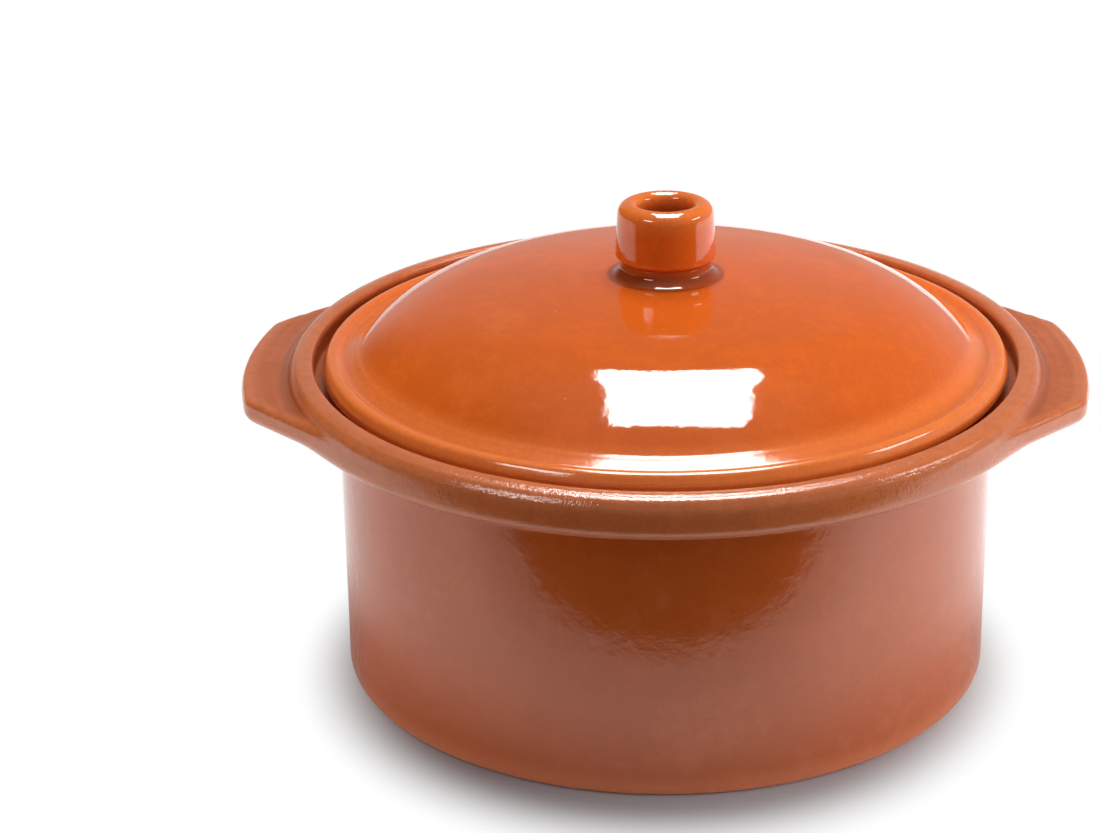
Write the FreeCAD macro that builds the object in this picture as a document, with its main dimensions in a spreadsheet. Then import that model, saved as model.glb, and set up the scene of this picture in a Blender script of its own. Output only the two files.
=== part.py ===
import FreeCAD, Part
import math
import os
import Sketcher

# Glazed clay cocotte: a thrown pot with a gallery for its lid, two lugs luted
# to the rim, and a loose domed lid with a hollow knob. Millimetres, +Z up.
# The origin is on the pot's axis, in the plane that it stands on.
# The lugs point along +X and -X.

# Driving dimensions

SIZES = {
    # Pot wall and foot
    "body_radius": 119.8,
    "wall_thickness": 8.0,
    "floor_thickness": 9.0,
    "waist_radius": 4000.0,
    "base_rounding": 2.4,
    "floor_fillet": 12.0,
    "foot_width": 15.0,
    "foot_height": 1.2,
    # Gallery that the lid sits in
    "ledge_height": 110.5,
    "ledge_width": 16.2,
    "ledge_rounding": 2.5,
    "gallery_depth": 9.5,
    "gallery_fillet": 2.4,
    # Rolled rim around the gallery
    "rim_thickness": 9.3,
    "rim_height": 17.5,
    "rim_lean": 2.8,
    "rim_belly_radius": 55.0,
    "rim_inner_rounding": 2.8,
    "rim_outer_rounding": 3.4,
    "rim_lower_rounding": 4.4,
    "rim_underside_rise": 1.6,
    "rim_underside_fillet": 6.0,
    # Lugs on the rim
    "lug_reach": 16.6,
    "lug_thickness": 10.6,
    "lug_drop": 5.8,
    "lug_tip_width": 80.0,
    "lug_root_depth": 3.9,
    "lug_corner_rounding": 12.5,
    "lug_top_rounding": 2.6,
    "lug_lower_rounding": 4.6,
    "lug_root_fillet": 3.2,
    # Lid
    "lid_gap": 3.6,
    "lid_wall": 7.0,
    "crown_height": 36.5,
    "crown_radius": 465.0,
    "shoulder_rounding": 40.0,
    "flank_angle": 58.0,
    "valley_inset": 15.6,
    "valley_height": 8.2,
    "valley_fillet": 3.0,
    "ridge_inset": 7.4,
    "ridge_height": 10.8,
    "ridge_rounding": 10.0,
    "edge_top_height": 8.0,
    "edge_low_height": 3.9,
    "edge_rounding": 2.6,
    "seat_inset": 4.4,
    "seat_rounding": 1.6,
    # Knob on the lid
    "knob_radius": 18.3,
    "knob_height": 26.6,
    "knob_taper": 1.2,
    "knob_lip_height": 6.9,
    "knob_lip_rounding": 1.4,
    "knob_top_rounding": 4.2,
    "neck_depth": 2.0,
    "neck_height": 5.4,
    "neck_fillet": 1.0,
    "neck_foot_width": 2.4,
    "neck_foot_height": 2.4,
    "knob_wall": 8.3,
    "hole_depth": 16.0,
    "hole_taper": 1.2,
    "hole_floor_fillet": 3.5,
}

# Lengths and slopes closer than this are the same
SAME_PLACE = 1e-5

DOCUMENT = FreeCAD.newDocument("cocotte")
SHEET = DOCUMENT.addObject("Spreadsheet::Sheet", "sizes")


def fill_sheet():
    """Write every driving dimension beside its name."""
    for row, (name, size) in enumerate(SIZES.items(), start=1):
        SHEET.set(f"A{row}", name)
        SHEET.set(f"B{row}", str(size))
        SHEET.setAlias(f"B{row}", name)
    DOCUMENT.recompute()


fill_sheet()


def tied(expression):
    """The expression with the sheet's name before each of its sizes."""
    result = ""
    word = ""
    for sign in expression + " ":
        if sign.isalnum() or sign == "_":
            word += sign
            continue
        result += f"{SHEET.Name}.{word}" if word in SIZES else word
        result += sign
        word = ""
    return result.strip()


def value_of(expression):
    """The plain number that an expression of the sizes gives now."""
    return float(SHEET.evalExpression(tied(expression)))


# Sketched outlines

class Corner:
    """A named corner of an outline, in expressions of the sizes.

    `rounding` is the radius that rounds the corner off. `bow` is the radius of
    the edge that leaves the corner, which curves left as it runs where `turn`
    is +1 and right where `turn` is -1. With no bow, that edge is straight.
    """

    def __init__(self, name, across, up, rounding=None, bow=None, turn=1):
        self.name = name
        self.across = across
        self.up = up
        self.rounding = rounding
        self.bow = bow
        self.turn = turn
        self.point = FreeCAD.Vector(value_of(across), value_of(up), 0)


def heading_vector(heading):
    """The unit vector along a heading in radians."""
    return FreeCAD.Vector(math.cos(heading), math.sin(heading), 0)


def arc_through(start, end, heading, turn, radius):
    """An arc that leaves start along a heading and ends nearest to end."""
    centre = start + heading_vector(heading + turn * math.pi / 2) * radius
    start_angle = math.atan2(start.y - centre.y, start.x - centre.x)
    end_angle = math.atan2(end.y - centre.y, end.x - centre.x)
    circle = Part.Circle(centre, FreeCAD.Vector(0, 0, 1), radius)
    if turn > 0:
        return Part.ArcOfCircle(circle, start_angle, end_angle)
    return Part.ArcOfCircle(circle, end_angle, start_angle)


class Bend:
    """How an outline turns at a corner, and where its rounding starts and ends."""

    def __init__(self, corner, arriving, leaving):
        angle = math.remainder(leaving - arriving, 2 * math.pi)
        self.arriving = arriving
        self.leaving = leaving
        self.turn = 1 if angle > 0 else -1
        self.radius = value_of(corner.rounding or "0")
        cut = self.radius * math.tan(abs(angle) / 2)
        self.start = corner.point - heading_vector(arriving) * cut
        self.end = corner.point + heading_vector(leaving) * cut


class Stretch:
    """One line or arc of an outline, with its two ends in running order."""

    def __init__(self, sketch, shape, turn=1):
        self.index = sketch.addGeometry(shape, False)
        self.start = (self.index, 1 if turn > 0 else 2)
        self.end = (self.index, 2 if turn > 0 else 1)


class Outline:
    """A closed outline through corners, each of them tied to the sizes."""

    def __init__(self, sketch, corners):
        self.sketch = sketch
        self.corners = corners
        headings = [self.headings(index) for index in range(len(corners))]
        self.bends = [
            Bend(corner, headings[index - 1][1], headings[index][0])
            for index, corner in enumerate(corners)
        ]
        edges = [self.draw_edge(index) for index in range(len(corners))]
        for index, corner in enumerate(corners):
            self.join(corner, self.bends[index], edges[index - 1], edges[index])
        sketch.recompute()
        if sketch.solve() != 0 or not sketch.FullyConstrained:
            raise ValueError(f"the outline of {sketch.Label} is not settled")

    def headings(self, index):
        """The headings of the edge that leaves a corner, at its two ends."""
        corner = self.corners[index]
        following = self.corners[(index + 1) % len(self.corners)]
        chord = following.point - corner.point
        heading = math.atan2(chord.y, chord.x)
        if corner.bow is None:
            return heading, heading
        swing = corner.turn * math.asin(chord.Length / 2 / value_of(corner.bow))
        return heading - swing, heading + swing

    def draw_edge(self, index):
        """Draw the line or bowed arc that leaves a corner."""
        corner = self.corners[index]
        bend = self.bends[index]
        end = self.bends[(index + 1) % len(self.bends)].start
        if corner.bow is None:
            return Stretch(self.sketch, Part.LineSegment(bend.end, end))
        radius = value_of(corner.bow)
        arc = arc_through(bend.end, end, bend.leaving, corner.turn, radius)
        edge = Stretch(self.sketch, arc, corner.turn)
        self.tie("Radius", f"{corner.name}_bow", corner.bow, edge.index)
        return edge

    def join(self, corner, bend, before, after):
        """Join two edges at a corner, rounded or sharp, and hold it in place."""
        if corner.rounding is None:
            self.relate("Coincident", *before.end, *after.start)
            self.place(corner, *after.start)
            return
        arc = arc_through(bend.start, bend.end, bend.arriving, bend.turn, bend.radius)
        rounded = Stretch(self.sketch, arc, bend.turn)
        tip = self.sketch.addGeometry(Part.Point(corner.point), True)
        self.relate("Tangent", *before.end, *rounded.start)
        self.relate("Tangent", *rounded.end, *after.start)
        self.relate("PointOnObject", tip, 1, before.index)
        self.relate("PointOnObject", tip, 1, after.index)
        self.place(corner, tip, 1)
        self.tie("Radius", f"{corner.name}_rounding", corner.rounding, rounded.index)

    def place(self, corner, geometry, position):
        """Hold a point at its corner's place, measured from the origin."""
        origin = (-1, 1)
        upright_axis = -2
        point = (geometry, position)
        if corner.across == "0":
            self.relate("PointOnObject", *point, upright_axis)
        else:
            self.tie("DistanceX", f"{corner.name}_across", corner.across, *origin, *point)
        self.tie("DistanceY", f"{corner.name}_up", corner.up, *origin, *point)

    def tie(self, kind, name, expression, *where):
        """Add a dimension and bind it to the sizes."""
        sketch = self.sketch
        sketch.addConstraint(Sketcher.Constraint(kind, *where, value_of(expression)))
        sketch.renameConstraint(sketch.ConstraintCount - 1, name)
        sketch.setExpression(f"Constraints.{name}", tied(expression))

    def relate(self, kind, *where):
        """Add a constraint that has no size."""
        self.sketch.addConstraint(Sketcher.Constraint(kind, *where))


# Bodies and features

def new_body(label):
    body = DOCUMENT.addObject("PartDesign::Body", label)
    body.Label = label
    return body


def new_sketch(body, name, role, corners, height=None):
    """A sketch of an outline on one of the body's own planes."""
    sketch = body.newObject("Sketcher::SketchObject", name)
    planes = [plane for plane in body.Origin.OriginFeatures if plane.Role == role]
    sketch.AttachmentSupport = (planes[0], [""])
    sketch.MapMode = "FlatFace"
    if height is not None:
        sketch.setExpression("AttachmentOffset.Base.z", tied(height))
    DOCUMENT.recompute()
    Outline(sketch, corners)
    sketch.Visibility = False
    return sketch


def turn_on_wheel(body, name, corners, kind="Revolution"):
    """Turn an outline about the vertical axis, as clay or as a cut."""
    sketch = new_sketch(body, f"{name}_outline", "XZ_Plane", corners)
    before = body.Shape.Volume if body.Tip else 0
    feature = body.newObject(f"PartDesign::{kind}", name)
    feature.Profile = sketch
    feature.ReferenceAxis = (sketch, ["V_Axis"])
    feature.Angle = 360
    DOCUMENT.recompute()
    change = feature.Shape.Volume - before
    if (change > 0) != (kind == "Revolution"):
        raise ValueError(f"{name} changes the volume by {change}")
    return feature


def round_edges(body, name, edges, rounding):
    """Round off edges of the body's last feature."""
    fillet = body.newObject("PartDesign::Fillet", name)
    fillet.Base = (fillet.BaseFeature, edges)
    fillet.setExpression("Radius", tied(rounding))
    DOCUMENT.recompute()
    return fillet


def border_edges(shape, level):
    """Names of the edges at one level that border the shape's upright sides."""
    height = value_of(level)
    names = []
    for number, edge in enumerate(shape.Edges, start=1):
        at_level = all(abs(vertex.Z - height) < SAME_PLACE for vertex in edge.Vertexes)
        faces = shape.ancestorsOfType(edge, Part.Face)
        if at_level and any(is_upright(face) for face in faces):
            names.append(f"Edge{number}")
    return names


def is_upright(face):
    first_u, last_u, first_v, last_v = face.ParameterRange
    normal = face.normalAt((first_u + last_u) / 2, (first_v + last_v) / 2)
    return abs(normal.z) < SAME_PLACE


# Expressions that several pieces share

CAVITY_RADIUS = "(body_radius - wall_thickness)"
GALLERY_RADIUS = f"({CAVITY_RADIUS} + ledge_width)"
RIM_RADIUS = f"({GALLERY_RADIUS} + rim_thickness)"
RIM_TOP = "(ledge_height + gallery_depth)"
RIM_BOTTOM = f"({RIM_TOP} - rim_height)"
RIM_FOOT = f"({RIM_BOTTOM} - rim_underside_rise)"
LUG_TOP = f"({RIM_TOP} - lug_drop)"
LUG_BOTTOM = f"({LUG_TOP} - lug_thickness)"
LUG_RADIUS = f"({RIM_RADIUS} + lug_reach)"


def polar(radius, angle):
    """Across and up for a radius at an angle."""
    return f"({radius} * cos({angle}))", f"({radius} * sin({angle}))"


def rim_corners():
    """The rolled rim's outer side, from the wall up to the rim's top."""
    return [
        Corner("underside", "body_radius", RIM_FOOT),
        Corner(
            "rim_foot", RIM_RADIUS, RIM_BOTTOM,
            rounding="rim_lower_rounding", bow="rim_belly_radius",
        ),
        Corner(
            "rim_top", f"{RIM_RADIUS} - rim_lean", RIM_TOP,
            rounding="rim_outer_rounding",
        ),
    ]


def make_pot_body():
    """The thrown pot: foot, drawn-in wall, rolled rim, gallery and floor."""
    foot_radius = "body_radius - foot_width"
    rim = rim_corners()
    rim[0].rounding = "rim_underside_fillet"
    body = new_body("pot_body")
    turn_on_wheel(body, "thrown_pot", [
        Corner("recess", "0", "foot_height"),
        Corner("foot_top", f"{foot_radius} - foot_height", "foot_height"),
        Corner("foot_inside", foot_radius, "0"),
        Corner(
            "foot_outside", "body_radius", "0",
            rounding="base_rounding", bow="waist_radius", turn=-1,
        ),
        *rim,
        Corner("rim_inside", GALLERY_RADIUS, RIM_TOP, rounding="rim_inner_rounding"),
        Corner("gallery", GALLERY_RADIUS, "ledge_height", rounding="gallery_fillet"),
        Corner("ledge", CAVITY_RADIUS, "ledge_height", rounding="ledge_rounding"),
        Corner("cavity", CAVITY_RADIUS, "floor_thickness", rounding="floor_fillet"),
        Corner("floor", "0", "floor_thickness"),
    ])
    return body


def make_lug(label, heading):
    """A flat lug luted to the rim, hollowed to fit the rim's own outer side.

    It is made towards +X and then turned to its heading. From its rounded tip
    its sides flare until they run along the rim, and its top sweeps up to it.
    """
    root_radius = f"({RIM_RADIUS} - lug_root_depth)"
    tip_angle = f"asin(lug_tip_width / 2 / {LUG_RADIUS})"
    tip = polar(LUG_RADIUS, tip_angle)
    root = polar(root_radius, f"({tip_angle} + acos({root_radius} / {LUG_RADIUS}))")
    body = new_body(label)
    plate_outline = new_sketch(body, "plate_outline", "XY_Plane", [
        Corner("near_root", root[0], f"-{root[1]}"),
        Corner(
            "near_tip", tip[0], f"-{tip[1]}",
            rounding="lug_corner_rounding", bow=LUG_RADIUS,
        ),
        Corner("far_tip", *tip, rounding="lug_corner_rounding"),
        Corner("far_root", *root),
    ], LUG_BOTTOM)
    plate = body.newObject("PartDesign::Pad", "plate")
    plate.Profile = plate_outline
    plate.setExpression("Length", tied("lug_thickness + lug_root_fillet"))
    DOCUMENT.recompute()

    lean = "(rim_lean / rim_height)"
    rim_side = f"({RIM_RADIUS} - {lean} * (rim_height - lug_drop))"
    sweep = "(lug_root_fillet * 2)"
    clear_radius = f"({LUG_RADIUS} + lug_reach)"
    turn_on_wheel(body, "swept_top", [
        Corner("root", rim_side, LUG_TOP, rounding="lug_root_fillet"),
        Corner("outside", clear_radius, LUG_TOP),
        Corner("outside_top", clear_radius, f"{LUG_TOP} + {sweep}"),
        Corner("root_top", f"{rim_side} - {lean} * {sweep}", f"{LUG_TOP} + {sweep}"),
    ], "Groove")
    top_edges = border_edges(body.Shape, LUG_TOP)
    round_edges(body, "soft_top", top_edges, "lug_top_rounding")
    lower_edges = border_edges(body.Shape, LUG_BOTTOM)
    round_edges(body, "soft_underside", lower_edges, "lug_lower_rounding")
    below = f"({RIM_FOOT} - lug_thickness)"
    turn_on_wheel(body, "pot_side", [
        *rim_corners(),
        Corner("axis_top", "0", RIM_TOP),
        Corner("axis_below", "0", below),
        Corner("wall_below", "body_radius", below),
    ], "Groove")
    body.Placement.Rotation = FreeCAD.Rotation(FreeCAD.Vector(0, 0, 1), heading)
    return body


LID_RADIUS = f"({GALLERY_RADIUS} - lid_gap)"
VALLEY_RADIUS = f"({LID_RADIUS} - valley_inset)"
FLANK_SLOPE = "(flank_angle * 1deg)"


def flank_run(inset):
    """How far the flank runs from the valley's level up to the crown.

    The flank and crown are those of a surface set in from the lid's outer one.
    The point that the run starts from is measured from the crown's centre.
    """
    across = f"({VALLEY_RADIUS} - {inset} * sin({FLANK_SLOPE}))"
    up = f"(valley_height - crown_height + crown_radius - {inset} * cos({FLANK_SLOPE}))"
    along = f"({across} * cos({FLANK_SLOPE}) - {up} * sin({FLANK_SLOPE}))"
    aside = f"({across} * sin({FLANK_SLOPE}) + {up} * cos({FLANK_SLOPE}))"
    return f"({along} + sqrt((crown_radius - {inset}) ^ 2 - {aside} ^ 2))"


def shoulder(inset):
    """Across and up of the corner where the flank meets the crown."""
    run = flank_run(inset)
    across = f"({VALLEY_RADIUS} - {inset} * sin({FLANK_SLOPE}) - {run} * cos({FLANK_SLOPE}))"
    up = f"(valley_height - {inset} * cos({FLANK_SLOPE}) + {run} * sin({FLANK_SLOPE}))"
    return across, up


def make_lid():
    """The thrown lid: a domed shell on a solid flange that rests on the ledge."""
    outer = shoulder("0")
    inner = shoulder("lid_wall")
    bend = f"({FLANK_SLOPE} - asin({outer[0]} / crown_radius))"
    flank_room = f"(({flank_run('0')} - valley_fillet) / tan({bend} / 2))"
    rounding = f"min(shoulder_rounding; {flank_room})"
    mouth_radius = f"({inner[0]} + {inner[1]} / tan({FLANK_SLOPE}))"
    body = new_body("lid")
    turn_on_wheel(body, "thrown_lid", [
        Corner(
            "inside_apex", "0", "(crown_height - lid_wall)",
            bow="(crown_radius - lid_wall)", turn=-1,
        ),
        Corner("inside_shoulder", *inner, rounding=f"({rounding} - lid_wall)"),
        Corner("mouth", mouth_radius, "0", rounding="seat_rounding"),
        Corner("seat", f"{LID_RADIUS} - seat_inset", "0", rounding="seat_rounding"),
        Corner("edge_low", LID_RADIUS, "edge_low_height", rounding="edge_rounding"),
        Corner("edge_top", LID_RADIUS, "edge_top_height", rounding="edge_rounding"),
        Corner(
            "ridge", f"{LID_RADIUS} - ridge_inset", "ridge_height",
            rounding="ridge_rounding",
        ),
        Corner("valley", VALLEY_RADIUS, "valley_height", rounding="valley_fillet"),
        Corner("shoulder", *outer, rounding=rounding, bow="crown_radius"),
        Corner("apex", "0", "crown_height"),
    ])
    body.setExpression("Placement.Base.z", tied("ledge_height"))
    return body


def make_lid_knob():
    """The thrown knob: a necked cup luted to the crown of the lid."""
    foot_radius = "(knob_radius - neck_depth + neck_foot_width)"
    neck_radius = "(knob_radius - neck_depth)"
    foot_level = f"(sqrt(crown_radius ^ 2 - {foot_radius} ^ 2) - crown_radius)"
    hole_radius = "(knob_radius - knob_wall)"
    hole_floor = "(knob_height - hole_depth)"
    lip_rounding = "(knob_wall - knob_taper - knob_top_rounding)"
    body = new_body("lid_knob")
    turn_on_wheel(body, "thrown_knob", [
        Corner("seat_middle", "0", "0", bow="crown_radius", turn=-1),
        Corner("foot", foot_radius, foot_level),
        Corner("flare", neck_radius, "neck_foot_height", rounding="neck_foot_height"),
        Corner("neck", neck_radius, "neck_height", rounding="neck_fillet"),
        Corner("lip", "knob_radius", "knob_lip_height", rounding="knob_lip_rounding"),
        Corner(
            "top", "knob_radius - knob_taper", "knob_height",
            rounding="knob_top_rounding",
        ),
        Corner("hole_lip", hole_radius, "knob_height", rounding=lip_rounding),
        Corner(
            "hole_corner", f"{hole_radius} - hole_taper", hole_floor,
            rounding="hole_floor_fillet",
        ),
        Corner("hole_middle", "0", hole_floor),
    ])
    body.setExpression("Placement.Base.z", tied("ledge_height + crown_height"))
    return body


def main():
    pieces = [
        make_pot_body(),
        make_lug("right_handle", 0),
        make_lug("left_handle", 180),
        make_lid(),
        make_lid_knob(),
    ]
    DOCUMENT.recompute()
    failed = [
        thing.Name for thing in DOCUMENT.Objects
        if "Invalid" in thing.State or "Error" in thing.State
    ]
    if failed:
        raise ValueError(f"these objects failed: {failed}")
    os.makedirs("parts", exist_ok=True)
    for piece in pieces:
        shape = piece.Shape
        if shape.isNull() or not shape.isValid() or len(shape.Solids) != 1:
            raise ValueError(f"{piece.Label} is not one valid solid")
        shape.exportStep(f"parts/{piece.Label}.step")
        box = shape.optimalBoundingBox(False, False)
        print(f"{piece.Label}: {shape.Volume / 1000:.1f} cm3", box)


main()
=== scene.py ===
import math
from collections import namedtuple

import bpy
import numpy as np
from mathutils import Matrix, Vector


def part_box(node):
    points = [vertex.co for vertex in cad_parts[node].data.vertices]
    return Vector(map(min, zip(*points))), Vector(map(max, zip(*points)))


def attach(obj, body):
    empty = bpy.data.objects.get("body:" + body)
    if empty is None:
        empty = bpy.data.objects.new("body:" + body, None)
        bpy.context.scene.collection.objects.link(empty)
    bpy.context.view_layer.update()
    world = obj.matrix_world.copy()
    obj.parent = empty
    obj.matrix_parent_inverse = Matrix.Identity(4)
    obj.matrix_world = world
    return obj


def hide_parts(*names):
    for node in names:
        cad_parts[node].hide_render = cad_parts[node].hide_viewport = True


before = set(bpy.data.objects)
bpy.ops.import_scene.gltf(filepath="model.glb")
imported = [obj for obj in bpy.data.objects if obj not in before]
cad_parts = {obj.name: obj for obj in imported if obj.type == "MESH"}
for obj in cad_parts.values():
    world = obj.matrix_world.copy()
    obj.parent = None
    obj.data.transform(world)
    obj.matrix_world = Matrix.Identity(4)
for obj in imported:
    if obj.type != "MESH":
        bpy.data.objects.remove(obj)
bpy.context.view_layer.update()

# Glazed clay cocotte on a white studio table: the pot with its lugs is one
# glazed skin, and the lid with its knob another. What belongs to the cocotte is
# given in millimetres, with outlines as across and up from the axis. Meshes and
# the studio are in metres.

MM = 0.001


def box_in_mm(node):
    """A node's lowest and highest corners at rest."""
    low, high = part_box(node)
    return np.array(low) / MM, np.array(high) / MM


pot_high = box_in_mm("pot_body")[1]
lug_low, lug_high = box_in_mm("right_handle")
lid_low, lid_high = box_in_mm("lid")
knob_high = box_in_mm("lid_knob")[1]

# Pot. The wall draws in by its waist at half its height.

BODY_RADIUS = 119.8
WALL = 8.0
WAIST = 0.32
FLOOR_TOP = 9.0
FLOOR_ROUNDING = 12.0
FOOT_WIDTH = 15.0
FOOT_HEIGHT = 1.2
FOOT_ROUNDING = 0.6
BASE_ROUNDING = 2.4
LEDGE_WIDTH = 16.2
LEDGE_BRINK_ROUNDING = 2.5
GALLERY_ROUNDING = 2.4

# Rim. Its side leans in by its lean and swells by its belly, and its brim stands
# over the gallery by its overhang. Its upper part lies lower by its drop, and dips
# in front and rises behind by its tilt.

RIM_THICKNESS = 9.3
RIM_HEIGHT = 17.5
RIM_LEAN = 0.9
RIM_BELLY = 0.45
RIM_OVERHANG = 0.9
RIM_UNDERSIDE_RISE = 1.6
RIM_WALL_BLEND = 6.0
RIM_LOWER_ROUNDING = 4.4
RIM_ROLL = 5.2
RIM_BRIM_ROUNDING = 2.0
RIM_DROP = 0.7
RIM_TILT = 2.0

RIM_TOP = pot_high[2]
LEDGE = lid_low[2]
CAVITY_RADIUS = BODY_RADIUS - WALL
GALLERY_RADIUS = CAVITY_RADIUS + LEDGE_WIDTH
RIM_RADIUS = GALLERY_RADIUS + RIM_THICKNESS
RIM_BOTTOM = RIM_TOP - RIM_HEIGHT
RIM_FOOT = RIM_BOTTOM - RIM_UNDERSIDE_RISE

# Lugs. The root run is how far the plan goes on along the rim, in radians.

LUG_THICKNESS = 10.6
LUG_TIP_HALF_WIDTH = 40.0
LUG_ROOT_DEPTH = 3.9
LUG_ROOT_RUN = 0.3
LUG_CORNER_ROUNDING = 12.5
LUG_TOP_ROUNDING = 2.6
LUG_LOWER_ROUNDING = 4.6
LUG_BLEND = 3.6

LUG_RADIUS = lug_high[0]
LUG_BOTTOM = lug_low[2]
LUG_TOP = LUG_BOTTOM + LUG_THICKNESS
LUG_ROOT_RADIUS = RIM_RADIUS - LUG_ROOT_DEPTH

# Lid. Its tilt is how far it rises to the right for each millimetre across. Each
# bend of its edge is an inset from its side, a height above the ledge, and a
# rounding, in order from the seat to the flank's foot.

LID_WALL = 7.0
CROWN_RADIUS = 495.0
SHOULDER_ROUNDING = 68.0
FLANK_ANGLE = math.radians(45)
LID_TILT = 0.004
MOUTH_ROUNDING = 1.6

SEAT = (4.4, 0.0, 1.6)
EDGE_LOW = (0.0, 3.9, 2.4)
EDGE_TOP = (0.0, 6.8, 1.8)
BROW = (1.8, 10.1, 2.4)
BEAD = (4.8, 10.3, 1.0)
GROOVE = (7.5, 8.25, 1.2)
APRON = (10.2, 9.4, 3.0)
FOOT_STEP = (11.8, 10.25, 0.5)
FOOT_RING = (12.3, 10.75, 0.5)
VALLEY = (13.4, 11.3, 0.6)
LID_EDGE = (
    SEAT, EDGE_LOW, EDGE_TOP, BROW, BEAD, GROOVE, APRON, FOOT_STEP, FOOT_RING, VALLEY,
)

LID_RADIUS = lid_high[0]
LID_TOP = lid_high[2]

# Knob. Its neck meets the crown in a bend that lies sunk in it.

KNOB_RADIUS = 18.3
KNOB_TAPER = 1.2
KNOB_WALL = 8.3
KNOB_LIP_HEIGHT = 6.9
KNOB_LIP_ROUNDING = 1.4
KNOB_TOP_ROUNDING = 4.2
NECK_DEPTH = 2.0
NECK_HEIGHT = 5.4
NECK_TOP_ROUNDING = 0.8
NECK_FOOT_WIDTH = 3.4
NECK_FOOT_HEIGHT = 2.4
NECK_FOOT_ROUNDING = 1.2
NECK_BEND_INSET = 0.6
NECK_BEND_SINK = 0.35
NECK_BEND_ROUNDING = 1.4
HOLE_DEPTH = 16.0
HOLE_TAPER = 1.2
HOLE_BRIM_ROUNDING = 2.9
HOLE_FLOOR_ROUNDING = 3.5

KNOB_TOP = knob_high[2]


# Lines. A rounding, a long arc and the bend at its end get so many points, and a
# fine line's points lie a fine step apart.

ROUNDING_POINTS = 15
ARC_POINTS = 90
BEND_POINTS = 60
FINE_STEP = 0.2


def rounded(corners):
    """An open line through corners (across, up, rounding), its bends rounded."""
    places = [np.array(corner[:2], float) for corner in corners]
    points = [places[0]]
    for number in range(1, len(corners) - 1):
        corner = places[number]
        rounding = corners[number][2]
        back = places[number - 1] - corner
        ahead = places[number + 1] - corner
        back /= np.linalg.norm(back)
        ahead /= np.linalg.norm(ahead)
        opening = math.acos(np.clip(back @ ahead, -1, 1))
        middle = back + ahead
        middle /= np.linalg.norm(middle)
        centre = corner + middle * rounding / math.sin(opening / 2)
        spoke = corner + back * rounding / math.tan(opening / 2) - centre
        turn = math.copysign(math.pi - opening, ahead[0] * back[1] - ahead[1] * back[0])
        points += [
            centre + turned(spoke, turn * share)
            for share in np.linspace(0, 1, ROUNDING_POINTS)
        ]
    points.append(places[-1])
    return np.array(points)


def turned(arrow, angle):
    """An arrow turned to the left."""
    cosine, sine = math.cos(angle), math.sin(angle)
    return np.array([
        arrow[0] * cosine - arrow[1] * sine,
        arrow[0] * sine + arrow[1] * cosine,
    ])


def arc_to_line(centre, radius, start_angle, foot, heading, rounding):
    """Along an arc, round a bend, and onto a line through foot along heading."""
    centre = np.array(centre, float)
    foot = np.array(foot, float) - centre
    heading = np.array(heading, float)
    inward = np.array([-heading[1], heading[0]])
    inward *= -math.copysign(1, inward @ foot)
    offset = foot + inward * rounding
    along = offset @ heading
    run = -along - math.sqrt(along ** 2 - offset @ offset + (radius - rounding) ** 2)
    bend = offset + heading * run
    bend_start = math.atan2(bend[1], bend[0])
    bend_end = math.atan2(-inward[1], -inward[0])
    arc_angles = np.linspace(start_angle, bend_start, ARC_POINTS)
    bend_angles = np.linspace(bend_start, bend_end, BEND_POINTS)[1:]
    return np.concatenate([
        centre + radius * np.column_stack([np.cos(arc_angles), np.sin(arc_angles)]),
        centre + bend
        + rounding * np.column_stack([np.cos(bend_angles), np.sin(bend_angles)]),
    ])


def distances(points):
    """How far along the line each of its points lies."""
    steps = np.hypot(*np.diff(points, axis=0).T)
    return np.concatenate([[0], np.cumsum(steps)])


def even(points, spacing):
    """The same line through points an even distance apart."""
    along = distances(points)
    places = np.linspace(0, along[-1], max(2, round(along[-1] / spacing)) + 1)
    return np.column_stack([np.interp(places, along, column) for column in points.T])


def smoothed(values, spread):
    """Values eased over a spread, in steps, with both ends kept."""
    reach = int(math.ceil(spread * 3))
    weights = np.exp(-0.5 * (np.arange(-reach, reach + 1) / spread) ** 2)
    weights /= weights.sum()
    before = 2 * values[0] - values[reach:0:-1]
    after = 2 * values[-1] - values[-2:-reach - 2:-1]
    padded = np.concatenate([before, values, after])
    return np.convolve(padded, weights, mode="valid")


def eased(points, spread, spacing=FINE_STEP):
    """The line with its bends eased over a spread, as wet clay and glaze do."""
    fine = even(points, spacing)
    return np.column_stack([smoothed(column, spread / spacing) for column in fine.T])


def bends(points):
    """How sharply a fine line turns left at each point, per millimetre."""
    steps = np.diff(points, axis=0)
    headings = np.unwrap(np.arctan2(steps[:, 1], steps[:, 0]))
    lengths = np.hypot(*steps.T)
    turns = np.diff(headings) / (0.5 * (lengths[1:] + lengths[:-1]))
    return np.concatenate([[turns[0]], turns, [turns[-1]]])


# A bend gets up to so many more points to a millimetre than a straight run, and
# they crowd over so many fine steps round it.
MOST_CROWDING = 2.5
CROWDING_SPREAD = 12


def crowding(points, widest, sharpest):
    """A running count of the points that a line needs, more where it bends."""
    density = 1 / widest + np.minimum(np.abs(bends(points)) / sharpest, MOST_CROWDING)
    density = smoothed(density, CROWDING_SPREAD)
    along = distances(points)
    gains = 0.5 * (density[1:] + density[:-1]) * np.diff(along)
    return np.concatenate([[0], np.cumsum(gains)])


def chosen(points, widest, sharpest=0.11, count=None):
    """Points picked along a fine line: at most widest apart, closer at bends."""
    crowd = crowding(points, widest, sharpest)
    if count is None:
        count = int(math.ceil(crowd[-1])) + 1
    places = np.linspace(0, crowd[-1], count)
    return np.column_stack([np.interp(places, crowd, column) for column in points.T])


# Pot and lug sections. An easing is how far glaze and wet clay soften a bend. The
# lug's plan is drawn through points a plan step apart, and its section through so
# many points on each face and down its side.

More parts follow.
